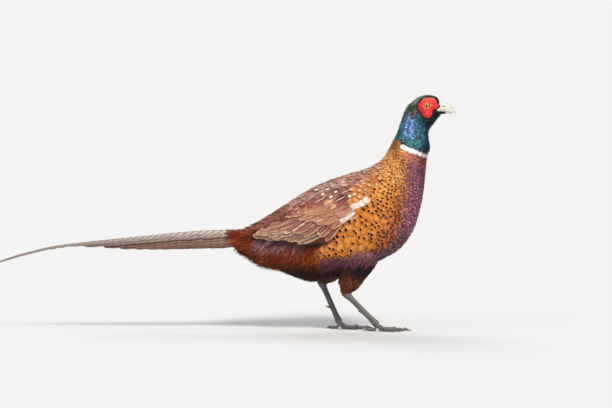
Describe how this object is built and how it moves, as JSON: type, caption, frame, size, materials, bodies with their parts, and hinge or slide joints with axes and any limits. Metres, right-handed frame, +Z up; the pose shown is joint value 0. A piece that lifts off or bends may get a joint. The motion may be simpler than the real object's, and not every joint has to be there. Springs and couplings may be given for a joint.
{
  "type": "pheasant",
  "caption": "Standing cock pheasant with raised head, bare wattled face, folded wings and a long pointed tail, one foot a step ahead.",
  "frame": {"origin": "on the floor, at the middle of the box that holds the whole bird", "axes": "+X the way the bill points, +Y the bird's left side, +Z up"},
  "size_m": [0.7191, 0.1388, 0.3638],
  "materials": {
    "head": "dark green-black feathers with a bronze gloss",
    "neck": "glossy blue, green and purple feathers with a white collar",
    "body": "copper and gold feathers with dark tips",
    "rump": "loose rufous feathers",
    "wing": "maroon and buff feathers with cream streaks",
    "tail": "buff feathers with dark bars and rufous-purple edges",
    "thigh": "brown-black feathers",
    "leg": "grey horn scales",
    "bill": "pale horn",
    "claw": "dark horn",
    "wattle": "bare red skin, finely warty",
    "eye": "moist, amber iris"
  },
  "bodies": {
    "root": {"head": "head", "neck": "neck", "torso": "body", "rump": "rump", "wing_left": "wing", "wing_right": "wing", "tail": "tail", "thigh_left": "thigh", "thigh_right": "thigh", "shank_left": "leg", "shank_right": "leg", "bill_upper": "bill", "bill_lower": "bill", "claw_inner_left": "claw", "claw_middle_left": "claw", "claw_outer_left": "claw", "claw_hind_left": "claw", "claw_inner_right": "claw", "claw_middle_right": "claw", "claw_outer_right": "claw", "claw_hind_right": "claw", "spur_left": "claw", "spur_right": "claw", "wattle_left": "wattle", "wattle_right": "wattle", "eye_left": "eye", "eye_right": "eye"}
  },
  "joints": []
}
